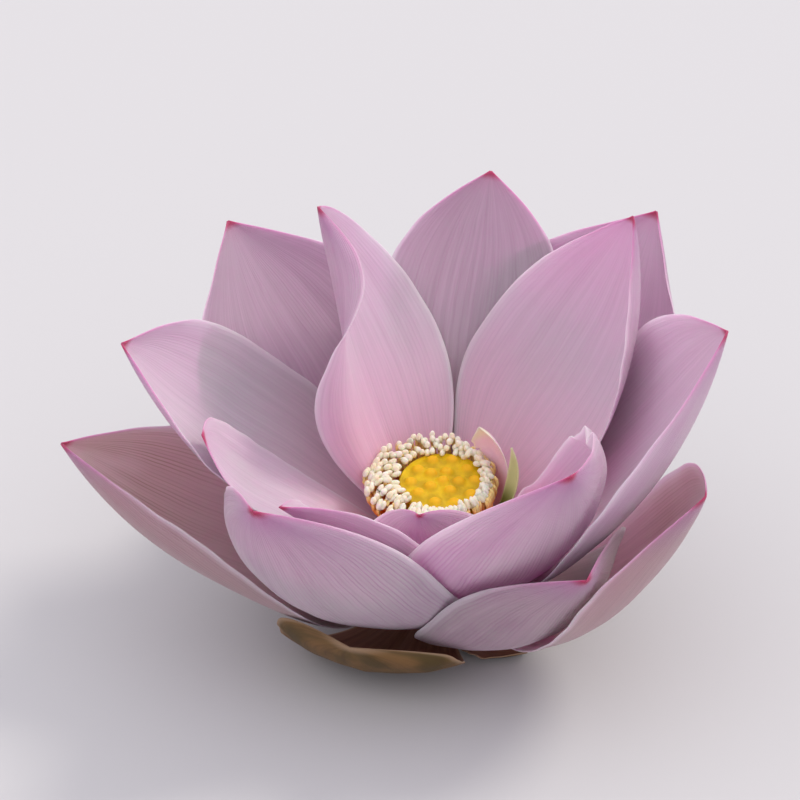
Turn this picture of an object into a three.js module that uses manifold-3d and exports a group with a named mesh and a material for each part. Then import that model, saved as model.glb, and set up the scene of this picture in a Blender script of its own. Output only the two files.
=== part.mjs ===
// A lotus flower in full bloom, as picked: it rests on its sepals on a level surface.
// Millimetres, +Z up. The pieces are laid out about the flower's axis, and the last step moves
// the origin to the middle of the flower's footprint, on the surface. Azimuths are in degrees
// from +X, counter-clockwise seen from above, so the viewer's side, -Y, is azimuth -90.
import * as THREE from 'three';
import { mergeVertices } from 'three/addons/utils/BufferGeometryUtils.js';
import Module from 'manifold-3d';

// Petals and sepals are thin curved shells. They leave the receptacle in a spiral ladder,
// from the innermost petal at the top down to the outermost sepal.
const PETAL_THICKNESS = 0.7;
const MARGIN_THICKNESS = 0.4;
const ROOT_RADIUS = 8;
const ROOT_TOP = 19.5;
const ROOT_STEP = 0.5;
const ROOT_WIDTH = 10; // a blade's own rootWidth goes before this
const TIP_HALF_WIDTH = 0.5;
const PETAL_GRID = { along: 12, across: 6 };
const SEPAL_GRID = { along: 8, across: 6 };
const FINE = 8; // steps of the running sums in each grid cell

// Each row is one petal. Lengths are in mm and angles in degrees.
//   rise    slope of the midrib above the horizontal at the root, the middle and the tip
//   cup     how far each margin turns up from the midrib, at the same three places
//   sway    sideways bend of the midrib towards the tip, positive counter-clockwise
//   tilt    roll of the whole blade about its midrib; twist adds to it towards the tip
//   widest  where along its length the blade is widest; point is how blunt the tip is
//   curl    extra turn of the margin on the clockwise and counter-clockwise sides
//   lobe    one side, 0 clockwise or 1 counter-clockwise, narrowed to base but for a lobe near at
const NO_CURL = [[0, 0, 0], [0, 0, 0]];
const PETALS = {
  petal_twisted: {
    az: 128, length: 98, width: 62, rise: [53, 66, 93], cup: [39, 49, 40],
    sway: 10, tilt: -6, twist: 73, widest: 0.55, point: 2.5, curl: [[0, 0, 0], [0, -120, 150]],
  },
  petal_inner_right: {
    az: 34, length: 104, width: 68, rise: [49, 53, 100], cup: [22, 39, 55],
    sway: -5, tilt: 8, twist: -16, widest: 0.45, point: 2.5, curl: [[0, 20, 20], [0, 0, 0]],
  },
  petal_inner_front: {
    az: -92, length: 59, width: 38, rise: [16, 50, 61], cup: [74, 31, 100],
    sway: -10, tilt: 0, twist: -5, widest: 0.5, point: 2.5, curl: NO_CURL,
  },
  petal_inner_front_left: {
    az: 251, length: 78, width: 44, rise: [11, 46, 53], cup: [15, 36, 55],
    sway: -35, tilt: -16, twist: 5, widest: 0.6, point: 2, curl: NO_CURL,
  },
  petal_inner_left: {
    az: 192, length: 83, width: 31, rise: [35, 39, 66], cup: [19, 18, 5],
    sway: 20, tilt: -3, twist: -5, widest: 0.7, point: 3, curl: NO_CURL,
  },
  petal_back: {
    az: 83, length: 105, width: 55, rise: [43, 46, 64], cup: [31, 48, 40],
    sway: -5, tilt: 0, twist: 6, widest: 0.6, point: 2.5, curl: NO_CURL,
  },
  petal_front_right: {
    az: -53, length: 103, width: 86, rise: [11, 48, 77], cup: [54, 77, 74],
    sway: -20, tilt: 27, twist: -29, widest: 0.3, point: 3.1, curl: [[0, 0, 0], [-27, 60, -59]],
    lobe: { side: 1, base: 0.64, at: 0.77, spread: 0.33 },
  },
  petal_left: {
    az: 174, length: 105, width: 62, rise: [37, 39, 64], cup: [29, 33, 55],
    sway: 15, tilt: -10, twist: 5, widest: 0.45, point: 3.5, curl: NO_CURL,
  },
  petal_right: {
    az: -22, length: 116, width: 90, rise: [23, 52, 80], cup: [6, 40, 35],
    sway: 0, tilt: 12, twist: 2, widest: 0.5, point: 3, curl: NO_CURL,
  },
  petal_back_left: {
    az: 138, length: 105, width: 84, rise: [41, 45, 60], cup: [30, 14, 50],
    sway: 0, tilt: -5, twist: 0, widest: 0.5, point: 2, curl: NO_CURL,
  },
  petal_back_right: {
    az: 43, length: 110, width: 82, rise: [25, 47, 70], cup: [24, 32, 65],
    sway: 0, tilt: -1, twist: -1, widest: 0.6, point: 2, curl: NO_CURL,
  },
  petal_front_left: {
    az: 232, length: 108, width: 79, rise: [-17, 44, 71], cup: [10, 54, 75],
    sway: 5, tilt: 4, twist: 1, widest: 0.3, point: 4, curl: NO_CURL,
  },
  petal_low_front_right: {
    az: -55, length: 92, width: 69, rise: [-27, 37, 63], cup: [11, 67, 80],
    sway: -15, tilt: 15, twist: -17, widest: 0.4, point: 3.5, curl: [[0, 0, 0], [-10, -40, -10]],
  },
  petal_low_left: {
    az: 189, length: 110, width: 71, rise: [-10, 28, 54], cup: [4, 78, 80],
    sway: -5, tilt: -20, twist: 5, widest: 0.35, point: 3.5, curl: NO_CURL,
  },
  petal_low_right: {
    az: -37, length: 103, width: 67, rise: [-21, 41, 71], cup: [9, 40, 30],
    sway: 0, tilt: 20, twist: -10, widest: 0.7, point: 2.5, curl: NO_CURL,
  },
  petal_low_back_right: {
    az: 66, length: 84, width: 60, rise: [-1, 40, 44], cup: [45, 50, 40],
    sway: 0, tilt: 5, twist: 0, widest: 0.55, point: 2, curl: NO_CURL,
  },
  petal_low_back: {
    az: 115, length: 86, width: 57, rise: [0, 35, 44], cup: [25, 45, 40],
    sway: 0, tilt: 5, twist: 0, widest: 0.55, point: 2, curl: NO_CURL,
  },
  petal_low_back_left: {
    az: 135, length: 78, width: 57, rise: [-19, 23, 46], cup: [14, 36, 45],
    sway: 0, tilt: 13, twist: -5, widest: 0.55, point: 2, curl: NO_CURL,
  },
};
const SEPALS = {
  sepal_front_left: {
    az: 242, length: 60, width: 54, rise: [-43, 14, 70], cup: [-15, 18, 40],
    sway: 5, tilt: 10, twist: -5, widest: 0.7, point: 4, curl: NO_CURL,
  },
  sepal_front_right: {
    az: -50, length: 30, width: 26, rise: [-50, -16, 26], cup: [0, 22, 30],
    sway: 0, tilt: 5, twist: 0, widest: 0.6, point: 2.5, curl: NO_CURL,
  },
  sepal_back_right: {
    az: 35, length: 50, width: 40, rise: [-33, -6, 50], cup: [25, 40, 40],
    sway: 0, tilt: -10, twist: 0, widest: 0.65, point: 3, curl: NO_CURL,
  },
  sepal_back_left: {
    az: 132, length: 54, width: 42, rise: [-32, -3, 50], cup: [18, 40, 45],
    sway: 0, tilt: 10, twist: 0, widest: 0.65, point: 3, curl: NO_CURL,
  },
};

// Two narrow scraps, part stamen and part petal, stand at the right of the stamens.
const PETALOIDS = {
  petaloid_pink: {
    az: 13, length: 31, width: 11, rootWidth: 3, rise: [44, 92, 132], cup: [22, 21, 58],
    sway: 17, tilt: -11, twist: 57, widest: 0.8, point: 3.8, curl: NO_CURL,
    lobe: { side: 1, base: 0.63, at: 0.95, spread: 0.27 },
  },
  petaloid_green: {
    az: -8, length: 27, width: 5, rootWidth: 3, rise: [42, 76, 108], cup: [10, 50, 20],
    sway: 10, tilt: 0, twist: 80, widest: 0.5, point: 1.8, curl: NO_CURL,
  },
};
const PETALOID_GRID = { along: 8, across: 4 };
const PETALOID_ROOTS = { petaloid_pink: [11.2, 25], petaloid_green: [11.8, 26] };

// The receptacle flares from a neck that carries the petals to the yellow disc, which is
// dimpled by the carpels: a centre one, then two rings.
const DISC_RADIUS = 12;
const DISC_HEIGHT = 40;
const HEAD_SLANT = 0.16; // the disc and stamens lean towards the viewer above this height
const SLANT_FROM = 25;
const RECEPTACLE_PROFILE = [
  [0, 8], [6.4, 8], [7.2, 9.4], [7.2, 22.5], [7.8, 25], [DISC_RADIUS, 37.5],
  [DISC_RADIUS, DISC_HEIGHT - 0.6], [DISC_RADIUS - 0.8, DISC_HEIGHT], [0, DISC_HEIGHT - 0.4],
];
const CARPEL_RADIUS = 1.3;
const CARPEL_RINGS = [[1, 0], [5, 4.2], [10, 8.6]];
const STEM_RADIUS = 4;
const STEM_BOTTOM = 0.8;
const STEM_TOP = 7.7;

// The stamens are one ring: a collar round the receptacle's neck, with rows of filaments that
// lean out and then bend in over the disc's rim. Drift is how far a row's heads lie towards the
// flower's left, -X. The petaloids stand in the outer row's gap.
const COLLAR_PROFILE = [[8.2, 23.2], [9, 23.2], [10.3, 26], [10.1, 28.6], [9.4, 28.6]];
const STAMEN_ROWS = [
  { count: 26, phase: 0, root: [9.8, 27.4], knee: [14.2, 36.5], head: [12.9, 41.8], drift: 0.4 },
  { count: 26, phase: 0.5, root: [9.8, 25.6], knee: [16, 36.5], head: [15.8, 41.6], drift: 2.4 },
];
const STAMEN_GAP = { from: -14, to: 36, row: 1 };
const FILAMENT_RADIUS = 0.6;
const HEAD_RADIUS = 1.05;
const STAMEN_SIDES = 5;

const radians = THREE.MathUtils.degToRad;

/** The smooth curve through three values, at the root, the middle and the tip. */
function through([root, middle, tip], s) {
  return root * (1 - s) * (1 - 2 * s) + middle * 4 * s * (1 - s) + tip * s * (2 * s - 1);
}

function halfWidth(p, s) {
  if (s < p.widest) {
    const growth = Math.sin((Math.PI / 2) * (s / p.widest)) ** 1.25;
    const rootWidth = p.rootWidth ?? ROOT_WIDTH;
    return (rootWidth + (p.width - rootWidth) * growth) / 2;
  }
  const u = (s - p.widest) / (1 - p.widest);
  return Math.max(TIP_HALF_WIDTH, (p.width / 2) * (1 - u ** p.point));
}

/** How wide one side is beside the plain outline, where only a lobe of it is full. */
function lobeAt(p, s, side) {
  if (!p.lobe || p.lobe.side !== side) {
    return 1;
  }
  const { base, at, spread } = p.lobe;
  return base + (1 - base) * Math.exp(-(((s - at) / spread) ** 2));
}

/** The midrib's points, each with the blade's side and inward directions there. */
function midrib(p, root, along) {
  const azimuth = radians(p.az);
  const out = new THREE.Vector3(Math.cos(azimuth), Math.sin(azimuth), 0);
  const side = new THREE.Vector3(-Math.sin(azimuth), Math.cos(azimuth), 0);
  const up = new THREE.Vector3(0, 0, 1);
  const mix = (a, x, b, y) => a.clone().multiplyScalar(x).addScaledVector(b, y);
  const frameAt = (s) => {
    const slope = radians(through(p.rise, s));
    const sway = radians(p.sway * s);
    const roll = radians(p.tilt + p.twist * s);
    const ahead = mix(out, Math.cos(slope), up, Math.sin(slope));
    const inward = mix(out, -Math.sin(slope), up, Math.cos(slope));
    const across = mix(side, Math.cos(sway), ahead, -Math.sin(sway));
    return {
      tangent: mix(ahead, Math.cos(sway), side, Math.sin(sway)),
      inward: mix(inward, Math.cos(roll), across, -Math.sin(roll)),
      across: mix(across, Math.cos(roll), inward, Math.sin(roll)),
    };
  };
  const steps = along * FINE;
  const point = out.clone().multiplyScalar(root[0]).addScaledVector(up, root[1]);
  const stations = [];
  let last = frameAt(0);
  for (let i = 0; i <= steps; i += 1) {
    const here = frameAt(i / steps);
    if (i > 0) {
      const half = p.length / steps / 2;
      point.addScaledVector(last.tangent, half).addScaledVector(here.tangent, half);
    }
    if (i % FINE === 0) {
      stations.push({ s: i / steps, point: point.clone(), ...here });
    }
    last = here;
  }
  return stations;
}

/** Half of the blade's cross-section, for a half-width of 1, as [across, inward] pairs. */
function halfSection(p, s, side, cells) {
  const cup = radians(through(p.cup, s));
  const curl = radians(through(p.curl[side], s));
  const turnAt = (h) => cup * h + curl * (Math.max(0, h - 0.4) / 0.6) ** 1.5;
  const steps = cells * FINE;
  const pairs = [[0, 0]];
  let [x, y] = [0, 0];
  for (let i = 1; i <= steps; i += 1) {
    const [a, b] = [turnAt((i - 1) / steps), turnAt(i / steps)];
    x += (Math.cos(a) + Math.cos(b)) / 2 / steps;
    y += (Math.sin(a) + Math.sin(b)) / 2 / steps;
    if (i % FINE === 0) {
      pairs.push([x, y]);
    }
  }
  return pairs;
}

/** The blade's middle surface: rows from root to tip, each from one margin to the other. */
function bladeRows(p, root, grid) {
  const cells = grid.across / 2;
  return midrib(p, root, grid.along).map(({ s, point, inward, across }) => {
    const width = halfWidth(p, s);
    const place = ([x, y], sign) => point.clone()
      .addScaledVector(across, sign * x * width)
      .addScaledVector(inward, y * width);
    const half = (side, sign) => halfSection(p, s, side, cells)
      .map(([x, y]) => place([x * lobeAt(p, s, side), y * lobeAt(p, s, side)], sign));
    const left = half(0, -1).slice(1).reverse();
    const right = half(1, 1);
    return [...left, ...right];
  });
}

function normalAt(rows, i, j) {
  const last = rows.length - 1;
  const edge = rows[0].length - 1;
  const ahead = rows[Math.min(i + 1, last)][j].clone().sub(rows[Math.max(i - 1, 0)][j]);
  const across = rows[i][Math.min(j + 1, edge)].clone().sub(rows[i][Math.max(j - 1, 0)]);
  return ahead.cross(across).normalize();
}

/** A closed shell round a middle surface, thinner along its margins. */
function shellGeometry(rows) {
  const edge = rows[0].length - 1;
  const columns = rows[0].length;
  const positions = [];
  for (const sign of [1, -1]) {
    rows.forEach((row, i) => row.forEach((point, j) => {
      const thickness = j === 0 || j === edge ? MARGIN_THICKNESS : PETAL_THICKNESS;
      const moved = point.clone().addScaledVector(normalAt(rows, i, j), (sign * thickness) / 2);
      positions.push(...moved.toArray());
    }));
  }
  const outer = rows.length * columns;
  const index = [];
  const quad = (a, b, c, d) => index.push(a, b, c, a, c, d);
  for (let i = 0; i < rows.length - 1; i += 1) {
    for (let j = 0; j < edge; j += 1) {
      const a = i * columns + j;
      quad(a, a + columns, a + columns + 1, a + 1);
      quad(outer + a, outer + a + 1, outer + a + columns + 1, outer + a + columns);
    }
    const [start, end] = [i * columns, i * columns + edge];
    quad(start, outer + start, outer + start + columns, start + columns);
    quad(end, end + columns, outer + end + columns, outer + end);
  }
  const tip = (rows.length - 1) * columns;
  for (let j = 0; j < edge; j += 1) {
    quad(j, j + 1, outer + j + 1, outer + j);
    quad(tip + j, outer + tip + j, outer + tip + j + 1, tip + j + 1);
  }
  const geometry = new THREE.BufferGeometry();
  geometry.setAttribute('position', new THREE.Float32BufferAttribute(positions, 3));
  geometry.setIndex(index);
  return geometry;
}

const wasm = await Module();
wasm.setup();

/** A three.js geometry as a solid that can be joined to others. */
function solidOf(geometry) {
  const bare = geometry.index ? geometry.clone() : geometry;
  bare.deleteAttribute('normal');
  bare.deleteAttribute('uv');
  const merged = mergeVertices(bare, 1e-4);
  return new wasm.Manifold(new wasm.Mesh({
    numProp: 3,
    vertProperties: new Float32Array(merged.attributes.position.array),
    triVerts: new Uint32Array(merged.index.array),
  }));
}

function geometryOf(solid) {
  const mesh = solid.getMesh();
  const geometry = new THREE.BufferGeometry();
  geometry.setAttribute('position', new THREE.BufferAttribute(mesh.vertProperties, 3));
  geometry.setIndex(new THREE.BufferAttribute(mesh.triVerts, 1));
  return geometry;
}

/** A solid of revolution about Z from [radius, height] pairs. */
function turned(profile, sides) {
  const points = profile.map(([radius, height]) => new THREE.Vector2(radius, height));
  return new THREE.LatheGeometry(points, sides).rotateX(Math.PI / 2);
}

/** Leans a geometry's top towards the viewer, in step with its height. */
function slanted(geometry) {
  const position = geometry.getAttribute('position');
  const rise = HEAD_SLANT / (DISC_HEIGHT - SLANT_FROM);
  for (let i = 0; i < position.count; i += 1) {
    const [y, z] = [position.getY(i), position.getZ(i)];
    position.setZ(i, z + rise * y * Math.max(0, z - SLANT_FROM));
  }
  return geometry;
}

function receptacleGeometry() {
  let solid = solidOf(turned(RECEPTACLE_PROFILE, 32));
  for (const [count, ring] of CARPEL_RINGS) {
    for (let k = 0; k < count; k += 1) {
      const angle = (2 * Math.PI * k) / count;
      const carpel = new THREE.IcosahedronGeometry(CARPEL_RADIUS, 0);
      carpel.translate(ring * Math.cos(angle), ring * Math.sin(angle), DISC_HEIGHT - 0.2);
      solid = solid.add(solidOf(carpel));
    }
  }
  return slanted(geometryOf(solid));
}

/** One stamen: a thin filament that thickens into its head, bent at the knee. */
function stamenSolid(row, azimuth) {
  const place = ([radius, height], drift) => new THREE.Vector3(
    radius * Math.cos(azimuth) - drift, radius * Math.sin(azimuth), height,
  );
  const path = [place(row.root, 0), place(row.knee, row.drift / 2), place(row.head, row.drift)];
  const neck = path[1].clone().lerp(path[2], 0.35);
  const centres = [path[0], path[1], neck, path[2]];
  const radii = [FILAMENT_RADIUS, FILAMENT_RADIUS, HEAD_RADIUS, HEAD_RADIUS * 0.6];
  const side = new THREE.Vector3(-Math.sin(azimuth), Math.cos(azimuth), 0);
  const positions = [];
  centres.forEach((centre, i) => {
    const ahead = centres[Math.min(i + 1, 3)].clone().sub(centres[Math.max(i - 1, 0)]).normalize();
    const third = ahead.clone().cross(side);
    for (let k = 0; k < STAMEN_SIDES; k += 1) {
      const angle = (2 * Math.PI * k) / STAMEN_SIDES;
      const point = centre.clone()
        .addScaledVector(side, radii[i] * Math.cos(angle))
        .addScaledVector(third, radii[i] * Math.sin(angle));
      positions.push(...point.toArray());
    }
  });
  const index = [];
  for (let i = 0; i < 3; i += 1) {
    for (let k = 0; k < STAMEN_SIDES; k += 1) {
      const a = i * STAMEN_SIDES + k;
      const b = i * STAMEN_SIDES + ((k + 1) % STAMEN_SIDES);
      index.push(a, b, b + STAMEN_SIDES, a, b + STAMEN_SIDES, a + STAMEN_SIDES);
    }
  }
  const top = 3 * STAMEN_SIDES;
  for (let k = 1; k < STAMEN_SIDES - 1; k += 1) {
    index.push(0, k + 1, k, top, top + k, top + k + 1);
  }
  const geometry = new THREE.BufferGeometry();
  geometry.setAttribute('position', new THREE.Float32BufferAttribute(positions, 3));
  geometry.setIndex(index);
  return solidOf(geometry);
}

function stamensGeometry() {
  const closed = [...COLLAR_PROFILE, COLLAR_PROFILE[0]];
  let solid = solidOf(turned(closed, 24));
  STAMEN_ROWS.forEach((row, level) => {
    for (let k = 0; k < row.count; k += 1) {
      const degrees = (360 * (k + row.phase)) / row.count;
      const turn = degrees > 180 ? degrees - 360 : degrees;
      const inGap = turn > STAMEN_GAP.from && turn < STAMEN_GAP.to;
      if (!(inGap && level === STAMEN_GAP.row)) {
        solid = solid.add(stamenSolid(row, radians(degrees)));
      }
    }
  });
  return slanted(geometryOf(solid));
}

const looks = {
  petal: { color: 0xc39dba, roughness: 0.55, metalness: 0 },
  sepal: { color: 0x7d6a44, roughness: 0.6, metalness: 0 },
  disc: { color: 0xd6ad2b, roughness: 0.5, metalness: 0 },
  stamen: { color: 0xe8dcc2, roughness: 0.5, metalness: 0 },
  stem: { color: 0x6f7c3c, roughness: 0.6, metalness: 0 },
  petaloid_pink: { color: 0xe3b3c4, roughness: 0.5, metalness: 0 },
  petaloid_green: { color: 0xa9b56e, roughness: 0.5, metalness: 0 },
};
const flower = new THREE.Group();

function addPiece(name, geometry, look) {
  const mesh = new THREE.Mesh(geometry, new THREE.MeshStandardMaterial(look));
  mesh.name = name;
  flower.add(mesh);
}

const ladder = [
  ...Object.entries(PETALS).map((entry) => [...entry, looks.petal, PETAL_GRID]),
  ...Object.entries(SEPALS).map((entry) => [...entry, looks.sepal, SEPAL_GRID]),
];
ladder.forEach(([name, blade, look, grid], level) => {
  const root = [ROOT_RADIUS, ROOT_TOP - ROOT_STEP * level];
  const geometry = shellGeometry(bladeRows(blade, root, grid));
  if (name in SEPALS) {
    // The flower rests on its sepals, so each settles the last fraction onto the surface.
    geometry.computeBoundingBox();
    geometry.translate(0, 0, -geometry.boundingBox.min.z);
  }
  addPiece(name, geometry, look);
});
for (const [name, blade] of Object.entries(PETALOIDS)) {
  const rows = bladeRows(blade, PETALOID_ROOTS[name], PETALOID_GRID);
  addPiece(name, shellGeometry(rows), looks[name]);
}
addPiece('receptacle', receptacleGeometry(), looks.disc);
addPiece('stamens', stamensGeometry(), looks.stamen);
addPiece('stem_stub', turned(
  [[0, STEM_BOTTOM], [STEM_RADIUS, STEM_BOTTOM], [STEM_RADIUS, STEM_TOP], [0, STEM_TOP]], 24,
), looks.stem);

const footprint = new THREE.Box3().setFromObject(flower).getCenter(new THREE.Vector3());
for (const piece of flower.children) {
  piece.position.set(-footprint.x, -footprint.y, 0);
}

export default flower;
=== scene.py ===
"""An open lotus flower as picked, resting on its sepals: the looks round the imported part.

Blender works in metres here, and the tables below are in millimetres and degrees, as the solid
model's are. +Z is up and the viewer stands at -Y. A blade is one petal, sepal or petaloid: its
s runs from 0 at the root to 1 at the tip, and its t from -1 to 1 across, with 1 on the
counter-clockwise side seen from above.
"""

import math
import random

import bpy
import numpy as np
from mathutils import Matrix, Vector


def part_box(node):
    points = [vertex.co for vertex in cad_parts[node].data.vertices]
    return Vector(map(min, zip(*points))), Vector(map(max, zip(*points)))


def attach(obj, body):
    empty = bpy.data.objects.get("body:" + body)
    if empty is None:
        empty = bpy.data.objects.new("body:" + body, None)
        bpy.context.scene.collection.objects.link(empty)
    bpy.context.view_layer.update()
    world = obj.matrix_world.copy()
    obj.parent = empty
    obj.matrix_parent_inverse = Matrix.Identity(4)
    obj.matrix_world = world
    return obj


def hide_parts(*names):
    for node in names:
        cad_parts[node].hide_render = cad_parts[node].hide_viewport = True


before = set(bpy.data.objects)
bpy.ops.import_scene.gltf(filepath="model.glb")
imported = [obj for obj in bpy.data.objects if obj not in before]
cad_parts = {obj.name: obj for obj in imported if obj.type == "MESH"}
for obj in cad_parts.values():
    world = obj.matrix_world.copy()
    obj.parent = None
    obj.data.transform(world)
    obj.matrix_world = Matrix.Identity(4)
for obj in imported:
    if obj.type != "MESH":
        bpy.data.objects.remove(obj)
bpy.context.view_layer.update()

MM = 0.001

# ---------------------------------------------------------------- the blades' shapes

ROOT_RADIUS = 8
ROOT_TOP = 19.5
ROOT_STEP = 0.5
ROOT_WIDTH = 10
FLAT = [[0, 0, 0], [0, 0, 0]]

# rise: slope of the midrib at the root, middle and tip. cup: how far each margin turns up, at
# the same places. sway: sideways bend. tilt and twist: roll about the midrib, at the root and
# added towards the tip. curl: extra turn of the margins at t = -1 and t = 1. lobe: one side,
# 0 for t < 0 or 1 for t > 0, narrowed to base but for a lobe near at.
PETALS = {
    "petal_twisted": dict(
        az=128, length=98, width=62, rise=[53, 66, 93], cup=[39, 49, 40], sway=10, tilt=-6,
        twist=73, widest=0.55, point=2.5, curl=[[0, 0, 0], [0, -120, 150]]),
    "petal_inner_right": dict(
        az=34, length=104, width=68, rise=[49, 53, 100], cup=[22, 39, 55], sway=-5, tilt=8,
        twist=-16, widest=0.45, point=2.5, curl=[[0, 20, 20], [0, 0, 0]]),
    "petal_inner_front": dict(
        az=-92, length=59, width=38, rise=[16, 50, 61], cup=[74, 31, 100], sway=-10, tilt=0,
        twist=-5, widest=0.5, point=2.5, curl=FLAT),
    "petal_inner_front_left": dict(
        az=251, length=78, width=44, rise=[11, 46, 53], cup=[15, 36, 55], sway=-35, tilt=-16,
        twist=5, widest=0.6, point=2, curl=FLAT),
    "petal_inner_left": dict(
        az=192, length=83, width=31, rise=[35, 39, 66], cup=[19, 18, 5], sway=20, tilt=-3,
        twist=-5, widest=0.7, point=3, curl=FLAT),
    "petal_back": dict(
        az=83, length=105, width=55, rise=[43, 46, 64], cup=[31, 48, 40], sway=-5, tilt=0,
        twist=6, widest=0.6, point=2.5, curl=FLAT),
    "petal_front_right": dict(
        az=-53, length=103, width=86, rise=[11, 48, 77], cup=[54, 77, 74], sway=-20, tilt=27,
        twist=-29, widest=0.3, point=3.1, curl=[[0, 0, 0], [-27, 60, -59]],
        lobe=dict(side=1, base=0.64, at=0.77, spread=0.33)),
    "petal_left": dict(
        az=174, length=105, width=62, rise=[37, 39, 64], cup=[29, 33, 55], sway=15, tilt=-10,
        twist=5, widest=0.45, point=3.5, curl=FLAT),
    "petal_right": dict(
        az=-22, length=116, width=90, rise=[23, 52, 80], cup=[6, 40, 35], sway=0, tilt=12,
        twist=2, widest=0.5, point=3, curl=FLAT),
    "petal_back_left": dict(
        az=138, length=105, width=84, rise=[41, 45, 60], cup=[30, 14, 50], sway=0, tilt=-5,
        twist=0, widest=0.5, point=2, curl=FLAT),
    "petal_back_right": dict(
        az=43, length=110, width=82, rise=[25, 47, 70], cup=[24, 32, 65], sway=0, tilt=-1,
        twist=-1, widest=0.6, point=2, curl=FLAT),
    "petal_front_left": dict(
        az=232, length=108, width=79, rise=[-17, 44, 71], cup=[10, 54, 75], sway=5, tilt=4,
        twist=1, widest=0.3, point=4, curl=FLAT),
    "petal_low_front_right": dict(
        az=-55, length=92, width=69, rise=[-27, 37, 63], cup=[11, 67, 80], sway=-15, tilt=15,
        twist=-17, widest=0.4, point=3.5, curl=[[0, 0, 0], [-10, -40, -10]]),
    "petal_low_left": dict(
        az=189, length=110, width=71, rise=[-10, 28, 54], cup=[4, 78, 80], sway=-5, tilt=-20,
        twist=5, widest=0.35, point=3.5, curl=FLAT),
    "petal_low_right": dict(
        az=-37, length=103, width=67, rise=[-21, 41, 71], cup=[9, 40, 30], sway=0, tilt=20,
        twist=-10, widest=0.7, point=2.5, curl=FLAT),
    "petal_low_back_right": dict(
        az=66, length=84, width=60, rise=[-1, 40, 44], cup=[45, 50, 40], sway=0, tilt=5, twist=0,
        widest=0.55, point=2, curl=FLAT),
    "petal_low_back": dict(
        az=115, length=86, width=57, rise=[0, 35, 44], cup=[25, 45, 40], sway=0, tilt=5, twist=0,
        widest=0.55, point=2, curl=FLAT),
    "petal_low_back_left": dict(
        az=135, length=78, width=57, rise=[-19, 23, 46], cup=[14, 36, 45], sway=0, tilt=13,
        twist=-5, widest=0.55, point=2, curl=FLAT),
}
SEPALS = {
    "sepal_front_left": dict(
        az=242, length=60, width=54, rise=[-43, 14, 70], cup=[-15, 18, 40], sway=5, tilt=10,
        twist=-5, widest=0.7, point=4, curl=FLAT),
    "sepal_front_right": dict(
        az=-50, length=30, width=26, rise=[-50, -16, 26], cup=[0, 22, 30], sway=0, tilt=5,
        twist=0, widest=0.6, point=2.5, curl=FLAT),
    "sepal_back_right": dict(
        az=35, length=50, width=40, rise=[-33, -6, 50], cup=[25, 40, 40], sway=0, tilt=-10,
        twist=0, widest=0.65, point=3, curl=FLAT),
    "sepal_back_left": dict(
        az=132, length=54, width=42, rise=[-32, -3, 50], cup=[18, 40, 45], sway=0, tilt=10,
        twist=0, widest=0.65, point=3, curl=FLAT),
}
PETALOIDS = {
    "petaloid_pink": dict(
        az=13, length=31, width=11, root_width=3, rise=[44, 92, 132], cup=[22, 21, 58], sway=17,
        tilt=-11, twist=57, widest=0.8, point=3.8, curl=FLAT,
        lobe=dict(side=1, base=0.63, at=0.95, spread=0.27)),
    "petaloid_green": dict(
        az=-8, length=27, width=5, root_width=3, rise=[42, 76, 108], cup=[10, 50, 20], sway=10,
        tilt=0, twist=80, widest=0.5, point=1.8, curl=FLAT),
}
PETALOID_ROOTS = {"petaloid_pink": (11.2, 25), "petaloid_green": (11.8, 26)}

# The first petals of the table, the inner ones, are the rosiest.
INNER_WHORL = 5
OUTER_WHORL_PALE = 0.85
# How much darker some petals are than the rest. It stands for shade that the light doesn't give.
DUSKS = {"petal_back": 0.26, "petal_back_left": 0.22, "petal_back_right": 0.08,
         "petal_low_front_right": 0.12, "petal_front_left": 0.08}
# How faded the lowest petals are, from 0 to 1.
AGES = {"petal_low_left": 1, "petal_low_right": 1, "petal_low_front_right": 0.35,
        "petal_low_back_right": 0.6, "petal_low_back": 0.6, "petal_low_back_left": 0.8}
# How deep the t = 1 margin is notched towards the tip, as a share of the half-width.
SCALLOPS = {"petal_front_right": 0.07, "petaloid_pink": 0.12}

# Steps along and across each kind of blade.
PETAL_GRID = (96, 64)
SEPAL_GRID = (56, 44)
PETALOID_GRID = (40, 20)

WIDTH_GROWTH = 1.25  # how the width grows from the root: 1 is a plain sine, more is slower
TIP_HALF_WIDTH = 0.25
CURL_FROM = 0.4  # where curl begins, from the midrib at 0 to the margin at 1
CURL_POWER = 1.5
ROOT_OVERLAP = 1.4  # how far a blade's foot runs on into the receptacle's neck
FACE_THICKNESS = 0.62
MARGIN_THICKNESS = 0.26
THINNING = 6  # how close to the margin a blade thins: more is closer

# Notches lie between these places along the blade, and fade in and out over these lengths.
NOTCHES_FROM = 0.66
NOTCHES_TO = 0.97
NOTCHES_FADE_IN = 0.08
NOTCHES_FADE_OUT = 0.05
NOTCH_RATE = 11
FINE_NOTCH_RATE = 17
FINE_NOTCH_SHARE = 0.6

# The living surface: waves and a finer crimp at the margins, soft pleats, a crease at the midrib.
RUFFLE_DEPTH = 0.5
RUFFLE_WAVES = (1.6, 2.6)
FINE_RUFFLE_RATE = 2.3
FINE_RUFFLE_SHARE = 0.4
CRIMP_DEPTH = 0.22
CRIMP_MORE_WAVES = 7
PLEATS = ((3.2, 0.12), (6.7, 0.06))  # how many pleats across, and how deep
PLEAT_LEAN = 0.4
CREASE_DEPTH = 0.18
CREASE_WIDTH = 0.035

disc_low, disc_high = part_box("receptacle")
AXIS = ((disc_low + disc_high) / 2 / MM) * Vector((1, 1, 0))
DISC_HEIGHT = 40
HEAD_SLANT = 0.16
SLANT_FROM = 25


def through(values, s):
    """The smooth curve through three values, at the root, the middle and the tip."""
    root, middle, tip = values
    return root * (1 - s) * (1 - 2 * s) + middle * 4 * s * (1 - s) + tip * s * (2 * s - 1)


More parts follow.
